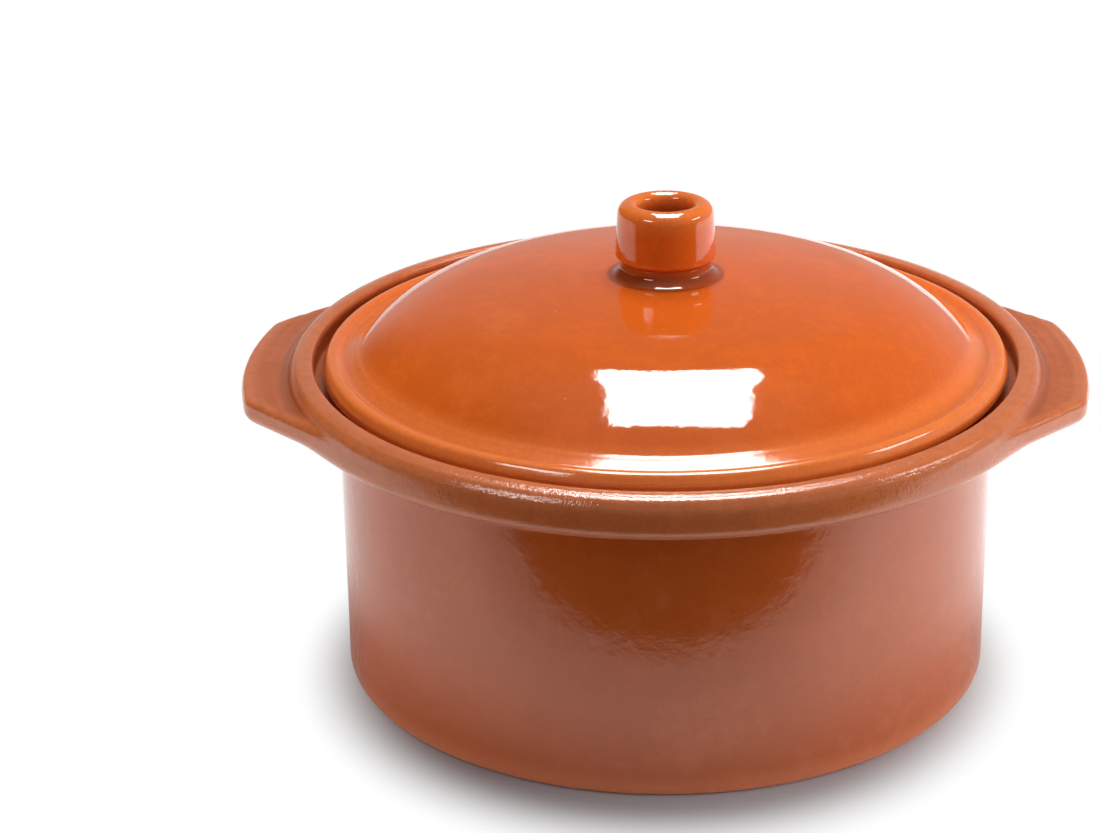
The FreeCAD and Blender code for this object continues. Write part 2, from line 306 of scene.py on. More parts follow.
POT_EASING = 0.5
RIM_EASING = 0.45
LUG_PLAN_EASING = 1.2
LUG_PLAN_STEP = 0.3
WALL_MARGIN = 0.5
LUG_RUN_POINTS = 40
LUG_FACE_POINTS = 90
LUG_SIDE_POINTS = 30


def pot_outline():
    """The thrown pot's line from the middle of its underside to its floor."""
    foot = BODY_RADIUS - FOOT_WIDTH
    line = rounded([
        (0, FOOT_HEIGHT, 0),
        (foot - FOOT_HEIGHT, FOOT_HEIGHT, FOOT_ROUNDING),
        (foot, 0, FOOT_ROUNDING),
        (BODY_RADIUS, 0, BASE_ROUNDING),
        (BODY_RADIUS, RIM_FOOT, RIM_WALL_BLEND),
        (RIM_RADIUS, RIM_BOTTOM, RIM_LOWER_ROUNDING),
        (RIM_RADIUS - RIM_LEAN, RIM_TOP, RIM_ROLL),
        (GALLERY_RADIUS - RIM_OVERHANG, RIM_TOP, RIM_BRIM_ROUNDING),
        (GALLERY_RADIUS, LEDGE, GALLERY_ROUNDING),
        (CAVITY_RADIUS, LEDGE, LEDGE_BRINK_ROUNDING),
        (CAVITY_RADIUS, FLOOR_TOP, FLOOR_ROUNDING),
        (0, FLOOR_TOP, 0),
    ])
    line = even(line, FINE_STEP)
    across, up = line.T
    on_wall = (across > BODY_RADIUS - WALL_MARGIN) & (up < RIM_FOOT)
    on_rim = across > (GALLERY_RADIUS + RIM_RADIUS) / 2
    waist = bulge(WAIST, up / RIM_FOOT)
    belly = bulge(RIM_BELLY, (up - RIM_BOTTOM) / RIM_HEIGHT)
    across = across - np.where(on_wall, waist, 0)
    across = across + np.where(on_rim, belly, 0)
    return eased(np.column_stack([across, up]), POT_EASING)


def bulge(height, share):
    """A swelling that has its height halfway and ends at a share of 0 and 1."""
    share = np.clip(share, 0, 1)
    return height * 4 * share * (1 - share)


def lug_plan():
    """Half of a lug's outline seen from above, from its tip to the rim."""
    tip_angle = math.asin(LUG_TIP_HALF_WIDTH / LUG_RADIUS)
    root_angle = tip_angle + math.acos(LUG_ROOT_RADIUS / LUG_RADIUS)
    tip = LUG_RADIUS * np.array([math.cos(tip_angle), math.sin(tip_angle)])
    root = LUG_ROOT_RADIUS * np.array([math.cos(root_angle), math.sin(root_angle)])
    heading = (root - tip) / np.linalg.norm(root - tip)
    line = arc_to_line((0, 0), LUG_RADIUS, 0, root, heading, LUG_CORNER_ROUNDING)
    beyond = np.linspace(root_angle, root_angle + LUG_ROOT_RUN, LUG_RUN_POINTS)
    along_rim = LUG_ROOT_RADIUS * np.column_stack([np.cos(beyond), np.sin(beyond)])
    return eased(np.concatenate([line, along_rim]), LUG_PLAN_EASING, LUG_PLAN_STEP)


# The rim and lug are drawn as seen from their heart, a spot inside both: how far
# the skin lies from it in each of many looks, which turn from below and inside
# round the outside to the top, in degrees from level.
HEART_OUTWARD = 4.5
HEART_RISE = 5.4
LOWEST_LOOK = -122
HIGHEST_LOOK = 82
LOOK_COUNT = 1500

HEART = np.array([
    (GALLERY_RADIUS + BODY_RADIUS) / 2 + HEART_OUTWARD, LUG_BOTTOM + HEART_RISE,
])
LOOKS = np.radians(np.linspace(LOWEST_LOOK, HIGHEST_LOOK, LOOK_COUNT))


def seen_from_heart(line):
    """How far a line lies from the rim's heart in each of the looks."""
    away = line - HEART
    looks = np.unwrap(np.arctan2(away[:, 1], away[:, 0]))
    order = np.argsort(looks)
    return np.interp(LOOKS, looks[order], np.hypot(*away.T)[order], left=0, right=0)


def lug_section(plan, angle):
    """How far the lug alone lies from the rim's heart at an angle round the pot."""
    plan_angles = np.arctan2(plan[:, 1], plan[:, 0])
    tip = np.interp(angle, plan_angles, np.hypot(*plan.T))
    share = np.linspace(0, 1, LUG_FACE_POINTS)
    across = HEART[0] + (tip - HEART[0]) * (1 - (1 - share) ** 2)
    spots = across[:, None] * np.array([math.cos(angle), math.sin(angle)])
    gaps = np.hypot(*(spots[:, None, :] - plan[None, :, :]).transpose(2, 0, 1))
    inset = gaps.min(axis=1)
    upper = LUG_TOP - edge_drop(inset, LUG_TOP_ROUNDING)
    lower = LUG_BOTTOM + edge_drop(inset, LUG_LOWER_ROUNDING)
    side = np.linspace(upper[-1], lower[-1], LUG_SIDE_POINTS)[1:-1]
    line = np.concatenate([
        np.column_stack([across, lower]),
        np.column_stack([np.full(side.size, tip), side[::-1]]),
        np.column_stack([across, upper])[::-1],
    ])
    return seen_from_heart(line)


def edge_drop(inset, rounding):
    """How far a rounded edge falls away at an inset from a plate's side."""
    bare = np.clip(rounding - inset, 0, rounding)
    return rounding - np.sqrt(rounding ** 2 - bare ** 2)


def melted(first, second, blend):
    """The further of two distances, with a fillet where they meet."""
    overlap = np.clip(1 - np.abs(first - second) / blend, 0, 1)
    return np.maximum(first, second) + blend * overlap ** 2 / 4


# Skins

def placed(name, data):
    """A new object in the scene."""
    thing = bpy.data.objects.new(name, data)
    bpy.context.scene.collection.objects.link(thing)
    return thing


def skin(name, angles, sections, body, nodes):
    """A closed skin through sections at angles round the axis, pole to pole."""
    columns, rows = sections.shape[:2]
    across, up = sections[:, 1:-1, 0], sections[:, 1:-1, 1]
    body_points = np.stack([
        across * np.cos(angles)[:, None],
        across * np.sin(angles)[:, None],
        up,
    ], axis=-1).reshape(-1, 3)
    poles = np.array([[0, 0, sections[0, 0, 1]], [0, 0, sections[0, -1, 1]]])
    points = np.concatenate([body_points, poles]) * MM

    inner = rows - 2
    here = np.arange(columns)
    after = (here + 1) % columns
    level = np.arange(inner - 1)
    quads = np.stack([
        (here[:, None] * inner + level).ravel(),
        (after[:, None] * inner + level).ravel(),
        (after[:, None] * inner + level + 1).ravel(),
        (here[:, None] * inner + level + 1).ravel(),
    ], axis=-1)
    bottom, top = len(body_points), len(body_points) + 1
    lower_fan = np.stack([np.full(columns, bottom), after * inner, here * inner], axis=-1)
    upper_fan = np.stack([
        here * inner + inner - 1, after * inner + inner - 1, np.full(columns, top),
    ], axis=-1)

    mesh = bpy.data.meshes.new(name)
    mesh.vertices.add(len(points))
    mesh.vertices.foreach_set("co", points.ravel())
    corners = np.concatenate([quads.ravel(), lower_fan.ravel(), upper_fan.ravel()])
    mesh.loops.add(len(corners))
    mesh.loops.foreach_set("vertex_index", corners.astype(np.int32))
    sides = np.concatenate([np.full(len(quads), 4), np.full(2 * columns, 3)])
    starts = np.concatenate([[0], np.cumsum(sides)[:-1]])
    mesh.polygons.add(len(sides))
    mesh.polygons.foreach_set("loop_start", starts.astype(np.int32))
    mesh.polygons.foreach_set("loop_total", sides.astype(np.int32))
    mesh.update(calc_edges=True)
    mesh.validate()
    mesh.shade_smooth()

    piece = placed(name, mesh)
    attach(piece, body)
    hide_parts(*nodes)
    return piece


def keep_on_points(piece, name, values, poles):
    """Store one value per point of a skin, for its material."""
    everywhere = np.concatenate([values[:, 1:-1].ravel(), poles])
    attribute = piece.data.attributes.new(name, "FLOAT", "POINT")
    attribute.data.foreach_set("value", everywhere.astype(np.float32))


def outward(sections):
    """Unit arrows out of the skin in the plane of each section."""
    along = np.gradient(sections, axis=1)
    arrows = np.stack([along[..., 1], -along[..., 0]], axis=-1)
    return arrows / np.maximum(np.linalg.norm(arrows, axis=-1, keepdims=True), 1e-9)


# Glaze pools in hollows about as wide as the narrow one, and shades gently with
# the broad one.
NARROW_HOLLOW = 1.6
BROAD_HOLLOW = 5.0
HOLLOW_STEP = 0.25


def hollows(sections, spread):
    """How hollow each section is, over a spread: above 0 where glaze pools."""
    result = np.zeros(sections.shape[:2])
    for number, section in enumerate(sections):
        along = distances(section)
        fine = np.arange(0, along[-1], HOLLOW_STEP)
        line = np.column_stack([np.interp(fine, along, column) for column in section.T])
        soft = smoothed(-bends(line), spread / HOLLOW_STEP)
        result[number] = np.interp(along, fine, soft)
    return result


def waves(angles, seeds, strength):
    """A gentle uneven wave round the axis, from a few whole numbers of waves."""
    total = np.zeros_like(angles)
    for count, seed in enumerate(seeds, start=2):
        total += np.sin(count * angles + seed) / count
    return strength * total / len(seeds)


def ripple(place, spacing, drift):
    """Rings that lie a spacing apart and wander by a drift."""
    return np.sin(place * 2 * math.pi / spacing + drift)


def between(value, low, high):
    """0 below low, 1 above high, and a smooth step from one to the other."""
    share = np.clip((value - low) / (high - low), 0, 1)
    return share * share * (3 - 2 * share)


def within(value, rise, fall):
    """1 from the end of one span to the start of another, and 0 outside both."""
    return between(value, *rise) * (1 - between(value, *fall))


# Pot skin. Its columns lie close together in the sector of each lug, in degrees.

LUG_SECTOR = 42
LUG_COLUMN = 0.4
PLAIN_COLUMNS = 56
POT_WIDEST = 3.0
RIM_WIDEST = 1.6
RIM_POINTS = 130
RIM_START = 2
SPARE_POINTS = 3

# Throwing marks: how deep they are and how far apart, where they come in and go
# out, and how they wander as (strength, waves round the pot, phase)
RIM_RING_DEPTH = 0.07
RIM_RING_SPACING = 4.6
RIM_RING_DRIFT = ((0.9, 2, 0.6), (0.5, 5, 1.9))
RIM_OVERTONE = 0.5
RIM_OVERTONE_PITCH = 2.31
RIM_RING_ACROSS = (GALLERY_RADIUS + 2, GALLERY_RADIUS + 6)
RIM_RING_UP = (LUG_BOTTOM, LUG_TOP - 1)
FACES_UP = (0.5, 0.9)
WALL_MARK_DEPTH = 0.012
WALL_MARK_SPACING = 9.5
WALL_MARK_DRIFT = (1.3, 1, 1.0)
WALL_MARK_UP = ((12, 25), (84, 96))
WALL_MARK_FROM = 100
INSIDE_MARK_DEPTH = 0.12
INSIDE_MARK_SPACING = 7.5
INSIDE_MARK_DRIFT = (1.5, 1, 0.0)
INSIDE_MARK_UP = ((22, 34), (98, 106))

# How uneven the rim's and lugs' sides are, and over what heights
POT_WAVES = (0.4, 2.2, 4.0, 1.1, 5.2)
POT_WAVE_STRENGTH = 0.5
POT_WAVE_SINK = 0.35
POT_WAVE_UP = (60, 100)

# Where the rim's drop and tilt come in, and where pooled glaze and painted shade darken the
# gallery
RIM_TILT_UP = (RIM_BOTTOM + 4, RIM_TOP - 4)
GALLERY_POOL_AND_SHADE_ACROSS = (
    (CAVITY_RADIUS, CAVITY_RADIUS + 2), (GALLERY_RADIUS + 0.5, GALLERY_RADIUS + 2.5),
)
GALLERY_POOL_AND_SHADE_UP = ((LEDGE - 2, LEDGE), (RIM_TOP - 4, RIM_TOP - 1.5))
EDGE_MARGIN = 1
# How much darker the gallery, the knob's neck and its hole are made: painted shade, with
# pooled glaze in the gallery
EXTRA_POOLING_AND_SHADE = 0.3


def wander(turn, strength, count, phase):
    """How far a ring drifts at an angle round the axis."""
    return strength * np.sin(turn * count + phase)


def rim_ends(outline):
    """The first and the last point of the pot's outline that the looks take in."""
    looks = np.arctan2(*(outline - HEART).T[::-1])
    below = np.flatnonzero((looks > LOOKS[0]) & (outline[:, 1] < HEART[1]))
    above = np.flatnonzero((looks < LOOKS[-1]) & (outline[:, 1] > HEART[1]))
    first = below[outline[below, 0] > BODY_RADIUS + RIM_START][0]
    last = above[outline[above, 0] > HEART[0]][-1]
    return first, last


def pot_sections():
    """The angles round the pot, and its section at each, with the lugs on."""
    outline = pot_outline()
    first, last = rim_ends(outline)
    rim_alone = seen_from_heart(outline[first - SPARE_POINTS:last + 1 + SPARE_POINTS])
    lower = chosen(outline[:first + 1], POT_WIDEST)
    inside = chosen(outline[last:], POT_WIDEST)

    near = np.radians(np.arange(0, LUG_SECTOR, LUG_COLUMN))
    far = np.linspace(math.radians(LUG_SECTOR), math.pi / 2, PLAIN_COLUMNS)
    quarter = np.concatenate([near, far])
    plan = lug_plan()
    contours = []
    for angle in quarter:
        reach = melted(rim_alone, lug_section(plan, angle), LUG_BLEND)
        contour = HEART + reach[:, None] * np.column_stack([np.cos(LOOKS), np.sin(LOOKS)])
        contour = eased(contour, RIM_EASING)
        contour[0], contour[-1] = outline[first], outline[last]
        contours.append(chosen(contour, RIM_WIDEST, count=RIM_POINTS))
    contours = np.array(contours)
    angles = np.concatenate([
        quarter, math.pi - quarter[-2::-1], math.pi + quarter[1:],
        2 * math.pi - quarter[-2:0:-1],
    ])
    contours = np.concatenate([
        contours, contours[-2::-1], contours[1:], contours[-2:0:-1],
    ])
    columns = len(angles)
    return angles, np.concatenate([
        np.repeat(lower[None, :-1], columns, axis=0),
        contours,
        np.repeat(inside[None, 1:], columns, axis=0),
    ], axis=1)


def pot_relief(turn, across, up, facing):
    """How far throwing marks and an uneven hand move the pot's skin outward."""
    facing_up = between(facing, *FACES_UP) * between(up, *RIM_RING_UP)
    on_rim = between(across, *RIM_RING_ACROSS)
    drift = sum(wander(turn, *part) for part in RIM_RING_DRIFT)
    rings = ripple(across, RIM_RING_SPACING, drift)
    rings = rings + RIM_OVERTONE * np.sin(across * RIM_OVERTONE_PITCH - drift)
    relief = RIM_RING_DEPTH * facing_up * on_rim * (rings - 1 - RIM_OVERTONE)

    wall = within(up, *WALL_MARK_UP) * (across > WALL_MARK_FROM)
    marks = ripple(up, WALL_MARK_SPACING, wander(turn, *WALL_MARK_DRIFT))
    relief += WALL_MARK_DEPTH * wall * (marks - 1)

    inside = within(up, *INSIDE_MARK_UP) * (across < CAVITY_RADIUS + EDGE_MARGIN)
    marks = ripple(up, INSIDE_MARK_SPACING, wander(turn, *INSIDE_MARK_DRIFT))
    relief += INSIDE_MARK_DEPTH * inside * marks

    side = (1 - facing_up) * between(up, *POT_WAVE_UP) * (across > BODY_RADIUS - EDGE_MARGIN)
    relief += side * (waves(turn, POT_WAVES, POT_WAVE_STRENGTH) - POT_WAVE_SINK)
    return relief


def make_pot():
    """The pot with its lugs."""
    angles, sections = pot_sections()
    pooling_and_shade = hollows(sections, NARROW_HOLLOW)
    broad = hollows(sections, BROAD_HOLLOW)
    arrows = outward(sections)
    across, up = sections[..., 0], sections[..., 1]
    turn = angles[:, None]
    relief = pot_relief(turn, across, up, arrows[..., 1])
    sections = sections + relief[..., None] * arrows
    on_rim = between(up, *RIM_TILT_UP) * (across > GALLERY_RADIUS - EDGE_MARGIN)
    sections[..., 1] += on_rim * (RIM_TILT * np.sin(turn) - RIM_DROP)
    sections[:, 0, 0] = sections[:, -1, 0] = 0

    piece = skin(
        "glazed_pot", angles, sections, "pot",
        ["pot_body", "left_handle", "right_handle"],
    )
    # The gallery is darkened with painted shade on top of its pooled glaze
    gallery_pool_and_shade = within(across, *GALLERY_POOL_AND_SHADE_ACROSS) * within(up, *GALLERY_POOL_AND_SHADE_UP)
    keep_on_points(piece, "pooling_and_shade", pooling_and_shade + EXTRA_POOLING_AND_SHADE * gallery_pool_and_shade, [0, 0])
    keep_on_points(piece, "broad", broad, [0, 0])
    return piece


# Lid skin

LID_EASING = 0.35
LID_WIDEST = 2.6
LID_SHARPEST = 0.10
LID_COLUMNS = 512

# Low swells on the dome, and how uneven the flange is
SWELL_DEPTH = 0.012
SWELL_SPACING = 26
SWELL_DRIFT = (0.8, 2, 0.0)
DOME_START = (24, 45)
FLANGE_START = (112, 118)
FLANGE_FACES_UP = (-0.2, 0.4)
FLANGE_WAVES = (1.4, 0.2, 3.3, 2.1)
FLANGE_WAVE_STRENGTH = 0.35
FLANGE_WAVE_SINK = 0.2
TILT_START = 25

# Where painted shade darkens the knob's neck and its hole
NECK_SHADE_ACROSS = ((12, 15), (KNOB_RADIUS - 0.5, KNOB_RADIUS + 4))
NECK_SHADE_UP = (
    (LID_TOP - 2, LID_TOP - 0.5),
    (LID_TOP + NECK_HEIGHT - 1, LID_TOP + KNOB_LIP_HEIGHT),
)
HOLE_SHADE_FADE = (KNOB_TOP - 5, KNOB_TOP - 1.5)


def lid_outline():
    """The lid and knob's line from the middle of the hollow to the knob's hole."""
    edge = [(LID_RADIUS - inset, LEDGE + height, rounding)
            for inset, height, rounding in LID_EDGE]
    valley = np.array(edge[-1][:2])
    centre = (0, LID_TOP - CROWN_RADIUS)
    downhill = np.array([math.cos(FLANK_ANGLE), -math.sin(FLANK_ANGLE)])
    flank_inward = np.array([-math.sin(FLANK_ANGLE), -math.cos(FLANK_ANGLE)])
    outer = arc_to_line(
        centre, CROWN_RADIUS, math.pi / 2, valley, downhill, SHOULDER_ROUNDING,
    )
    inner_foot = valley + flank_inward * LID_WALL
    inner = arc_to_line(
        centre, CROWN_RADIUS - LID_WALL, math.pi / 2, inner_foot, downhill,
        SHOULDER_ROUNDING - LID_WALL,
    )
    mouth = inner_foot + downhill * (inner_foot[1] - LEDGE) / math.sin(FLANK_ANGLE)
    flange = rounded([
        (*inner[-1], 0), (mouth[0], LEDGE, MOUTH_ROUNDING), *edge, (*outer[-1], 0),
    ])
    neck = KNOB_RADIUS - NECK_DEPTH
    foot = neck + NECK_FOOT_WIDTH
    crown = outer[::-1]
    crown = crown[crown[:, 0] > foot]
    hole = KNOB_RADIUS - KNOB_WALL
    hole_floor = KNOB_TOP - HOLE_DEPTH
    knob = rounded([
        (*crown[-1], 0),
        (foot - NECK_BEND_INSET, LID_TOP - NECK_BEND_SINK, NECK_BEND_ROUNDING),
        (neck, LID_TOP + NECK_FOOT_HEIGHT, NECK_FOOT_ROUNDING),
        (neck, LID_TOP + NECK_HEIGHT, NECK_TOP_ROUNDING),
        (KNOB_RADIUS, LID_TOP + KNOB_LIP_HEIGHT, KNOB_LIP_ROUNDING),
        (KNOB_RADIUS - KNOB_TAPER, KNOB_TOP, KNOB_TOP_ROUNDING),
        (hole, KNOB_TOP, HOLE_BRIM_ROUNDING),
        (hole - HOLE_TAPER, hole_floor, HOLE_FLOOR_ROUNDING),
        (0, hole_floor, 0),
    ])
    line = np.concatenate([inner, flange[1:-1], crown, knob[1:]])
    return eased(line, LID_EASING)


def make_lid():
    """The lid with its knob."""
    line = chosen(lid_outline(), LID_WIDEST, LID_SHARPEST)
    angles = np.arange(LID_COLUMNS) * 2 * math.pi / LID_COLUMNS
    sections = np.repeat(line[None], LID_COLUMNS, axis=0)
    pooling_and_shade = hollows(sections[:1], NARROW_HOLLOW).repeat(LID_COLUMNS, axis=0)
    broad = hollows(sections[:1], BROAD_HOLLOW).repeat(LID_COLUMNS, axis=0)
    arrows = outward(sections)
    across, up = sections[..., 0], sections[..., 1]
    turn = angles[:, None]
    dome = within(across, DOME_START, FLANGE_START)
    swell = ripple(across, SWELL_SPACING, wander(turn, *SWELL_DRIFT)) - 1
    relief = SWELL_DEPTH * dome * swell
    flange = between(across, *FLANGE_START) * between(arrows[..., 1], *FLANGE_FACES_UP)
    uneven = waves(turn, FLANGE_WAVES, FLANGE_WAVE_STRENGTH) - FLANGE_WAVE_SINK
    relief += flange * uneven
    sections = sections + relief[..., None] * arrows
    tilted = across > TILT_START
    sections[..., 1] += LID_TILT * sections[..., 0] * np.cos(turn) * tilted
    sections[:, 0, 0] = sections[:, -1, 0] = 0

    piece = skin(
        "glazed_lid", angles, sections, "lid", ["lid", "lid_knob"],
    )
    # The knob's neck and its hole are darkened with painted shade
    neck_shade = within(across, *NECK_SHADE_ACROSS) * within(up, *NECK_SHADE_UP)
    hole = KNOB_RADIUS - KNOB_WALL
    hole_shade = (across < hole + EDGE_MARGIN) * (up > LID_TOP)
    hole_shade = hole_shade * (1 - between(up, *HOLE_SHADE_FADE))
    pooling_and_shade = pooling_and_shade + EXTRA_POOLING_AND_SHADE * (neck_shade + hole_shade)
    keep_on_points(piece, "pooling_and_shade", pooling_and_shade, [0, EXTRA_POOLING_AND_SHADE])
    keep_on_points(piece, "broad", broad, [0, 0])
    return piece


# Materials

class Tree:
    """A material's or world's nodes, added one after another."""

    def __init__(self, owner):
        owner.use_nodes = True
        self.nodes = owner.node_tree.nodes
        self.links = owner.node_tree.links
        self.nodes.clear()

    def add(self, kind, settings=None, **inputs):
        """A node with its settings, and its inputs set or linked by name."""
        node = self.nodes.new(kind)
        for name, value in (settings or {}).items():
            setattr(node, name, value)
        for name, value in inputs.items():
            self.feed(node.inputs[name.replace("_", " ")], value)
        return node

    def feed(self, socket, value):
        """Link a socket, or set it where the value isn't one."""
        if isinstance(value, bpy.types.NodeSocket):
            self.links.new(value, socket)
        else:
            socket.default_value = value

    def math(self, operation, *values, clamp=False):
        """What an operation makes of its values."""
        node = self.nodes.new("ShaderNodeMath")
        node.operation = operation
        node.use_clamp = clamp
        for socket, value in zip(node.inputs, values):
            self.feed(socket, value)
        return node.outputs[0]

    def times(self, first, second):
        return self.math("MULTIPLY", first, second)

    def plus(self, first, second):
        return self.math("ADD", first, second)

    def minus(self, first, second):
        return self.math("SUBTRACT", first, second)

    def length(self, x, y):
        """How long the arrow (x, y) is."""
        return self.math("SQRT", self.plus(self.times(x, x), self.times(y, y)))

    def span(self, value, low, high, start=0.0, end=1.0, smooth=True):
        """The value mapped from low..high onto start..end, and held there."""
        node = self.nodes.new("ShaderNodeMapRange")
        node.interpolation_type = "SMOOTHSTEP" if smooth else "LINEAR"
        for name, number in (
            ("Value", value), ("From Min", low), ("From Max", high),
            ("To Min", start), ("To Max", end),
        ):
            self.feed(node.inputs[name], number)
        return node.outputs[0]

    def mix(self, share, first, second):
        """From the first colour to the second."""
        node = self.nodes.new("ShaderNodeMix")
        node.data_type = "RGBA"
        self.feed(node.inputs[0], share)
        self.feed(node.inputs[6], first)
        self.feed(node.inputs[7], second)
        return node.outputs[2]

    def mix_shaders(self, share, first, second):
        """From the first shader to the second."""
        node = self.nodes.new("ShaderNodeMixShader")
        for socket, value in zip(node.inputs, (share, first, second)):
            self.feed(socket, value)
        return node.outputs[0]

    def glow(self, shade, strength):
        return self.add("ShaderNodeEmission", Color=shade, Strength=strength).outputs[0]

    def place(self):
        """The spot on the object, as it lies at rest."""
        return self.add("ShaderNodeTexCoord").outputs["Object"]

    def parts(self, arrow):
        """An arrow's x, y and z."""
        return tuple(self.add("ShaderNodeSeparateXYZ", Vector=arrow).outputs)

    def kept(self, name):
        """A value that is stored on the skin's points."""
        return self.add("ShaderNodeAttribute", {"attribute_name": name}).outputs["Fac"]

    def noise(self, place, size, detail, roughness):
        """Soft noise from 0 to 1, with lumps of a size in millimetres."""
        node = self.add(
            "ShaderNodeTexNoise", Vector=place, Scale=1 / (size * MM), Detail=detail,
            Roughness=roughness,
        )
        return node.outputs[0]

    def specks(self, place, spacing, radius, share):
        """Round specks at a spacing and radius in millimetres, in a share of places."""
        node = self.add(
            "ShaderNodeTexVoronoi", Vector=place, Scale=1 / (spacing * MM), Randomness=1.0,
        )
        size = radius / spacing
        spot = self.span(node.outputs["Distance"], size, size * SPECK_CORE)
        pick = self.add("ShaderNodeSeparateColor", Color=node.outputs["Color"])
        keep = self.math("LESS_THAN", pick.outputs[0], share)
        return self.times(spot, keep)

    def finish(self, shader, kind="ShaderNodeOutputMaterial"):
        """Show a shader on the surface, or as the world."""
        self.links.new(shader, self.add(kind).inputs[0])


def colour(red, green, blue):
    """A colour for a socket, in linear light."""
    return (red, green, blue, 1.0)


# Glaze. A finish has the colours of thin glaze on ridges, of the usual one and of
# pooled glaze; the pooled colour also paints shade into the pot's gallery, the
# knob's neck and its hole. Peel and grain are how far its surface swells, in
# micrometres, over lumps a few millimetres wide and over a finer grain. It gets dry
# over a span that goes "up" or "across", and is so much rougher, so many times
# grainier, so much thinner and so patchy there.

Finish = namedtuple("Finish", "thin usual thick roughness peel grain dry")
Dry = namedtuple("Dry", "way low high rougher grainier thinner patchier")

POT_FINISH = Finish(
    thin=colour(0.68, 0.20, 0.075), usual=colour(0.50, 0.095, 0.014),
    thick=colour(0.26, 0.05, 0.008), roughness=0.10, peel=42.0, grain=27.0,
    dry=Dry(
        way="up", low=RIM_FOOT, high=RIM_BOTTOM + 4,
        rougher=0.0, grainier=5.0, thinner=0.15, patchier=0.13,
    ),
)
LID_FINISH = Finish(
    thin=colour(0.86, 0.21, 0.040), usual=colour(0.74, 0.128, 0.012),
    thick=colour(0.30, 0.048, 0.008), roughness=0.05, peel=20.0, grain=6.0,
    dry=Dry(
        way="across", low=107, high=112,
        rougher=0.07, grainier=2.0, thinner=0.7, patchier=0.06,
    ),
)
GLAZE_IOR = 1.65

# Noises in the glaze: the size of their lumps, their detail and their roughness
CLOUD = (38, 3.0, 0.5)
FINE_CLOUD = (5.5, 3.0, 0.6)
CLAY = (1.3, 2.0, 0.5)
PATCH = (6.0, 3.0, 0.6)
LUMP = (2.0, 1.5, 0.45)
WIDE_LUMP = (7.5, 1.0, 0.5)
GRIT = (0.8, 2.0, 0.5)
CLOUD_SHARE = 0.65

# What turns the glaze thicker or thinner: the values from which and to which it
# does so, and how much it does so at each
THICK_CLOUDS = (0.36, 0.52, 0.0, 0.16)
THIN_CLOUDS = (0.52, 0.66, 0.0, 0.2)
# Pooled glaze, and painted shade in the gallery, at the knob's neck and in its hole
POOLS_AND_SHADE = (0.03, 0.25, 0.0, 0.8)
RIDGES = (-0.02, -0.14, 0.0, 0.62)
DRY_PATCHES = (0.44, 0.66)
DARK_CLAY = (0.35, 0.65, 0.0, 0.10)

# Specks: their spacing, radius and share of places, how much they show, and their
# colour. A dark speck lies in a pit, in metres.
DARK_SPECKS = (13, 0.55, 0.10)
PALE_SPECKS = (17, 0.5, 0.06)
DARK_SPECK_SHARE = 0.75
PALE_SPECK_SHARE = 0.7
DARK_SPECK = colour(0.05, 0.014, 0.006)
PALE_SPECK = colour(0.75, 0.36, 0.18)
SPECK_CORE = 0.55
PIT = 6e-5

# Metres for each micrometre of peel or grain, and of peel on the wide lumps
SWELL = 1e-6
WIDE_SWELL = 2.2e-6

# The fine clouds blur the gloss from one of these values to the other, from the
# least to the most share of the finish's roughness.
BLUR = (0.3, 0.7)
LEAST_BLUR = 0.85
MOST_BLUR = 1.2


def glaze(name, finish):
    """A clear honey glaze on red clay."""
    material = bpy.data.materials.new(name)
    tree = Tree(material)
    place = tree.place()
    x, y, z = tree.parts(place)
    dry = finish.dry
    way = z if dry.way == "up" else tree.length(x, y)
    dryness = tree.span(way, dry.low * MM, dry.high * MM)
    fine_cloud = tree.noise(place, *FINE_CLOUD)
    mottle = tree.plus(tree.times(tree.noise(place, *CLOUD), CLOUD_SHARE),
                       tree.times(fine_cloud, 1 - CLOUD_SHARE))
    patches = tree.times(tree.span(tree.noise(place, *PATCH), *DRY_PATCHES), dryness)
    dark = tree.specks(place, *DARK_SPECKS)
    pale = tree.specks(place, *PALE_SPECKS)
    shade = finish.usual
    for share, tone in (
        (tree.span(mottle, *THICK_CLOUDS), finish.thick),
        (tree.span(mottle, *THIN_CLOUDS), finish.thin),
        # Pooled glaze in hollows, with painted shade in the gallery, at the knob's neck and
        # in its hole
        (tree.span(tree.kept("pooling_and_shade"), *POOLS_AND_SHADE), finish.thick),
        (tree.span(tree.kept("broad"), *RIDGES), finish.thin),
        (tree.times(dryness, dry.thinner), finish.thin),
        (tree.times(patches, dry.patchier), finish.thick),
        (tree.span(tree.noise(place, *CLAY), *DARK_CLAY), finish.thick),
        (tree.times(dark, DARK_SPECK_SHARE), DARK_SPECK),
        (tree.times(pale, PALE_SPECK_SHARE), PALE_SPECK),
    ):
        shade = tree.mix(share, shade, tone)

    lumps = tree.times(tree.noise(place, *LUMP), finish.peel * SWELL)
    wide_lumps = tree.times(tree.noise(place, *WIDE_LUMP), finish.peel * WIDE_SWELL)
    grainier = tree.math("MULTIPLY_ADD", dryness, dry.grainier - 1, 1.0)
    grain = tree.times(tree.times(tree.noise(place, *GRIT), grainier), finish.grain * SWELL)
    height = tree.plus(tree.plus(lumps, grain), wide_lumps)
    height = tree.minus(height, tree.times(dark, PIT))
    bump = tree.add("ShaderNodeBump", Strength=1.0, Distance=1.0, Height=height)
    rough = tree.span(
        fine_cloud, *BLUR, finish.roughness * LEAST_BLUR, finish.roughness * MOST_BLUR,
    )
    rough = tree.plus(rough, tree.times(dryness, dry.rougher))
    shader = tree.add(
        "ShaderNodeBsdfPrincipled", Base_Color=shade, Roughness=rough, IOR=GLAZE_IOR,
        Normal=bump.outputs[0],
    )
    tree.finish(shader.outputs[0])
    return material


# Studio

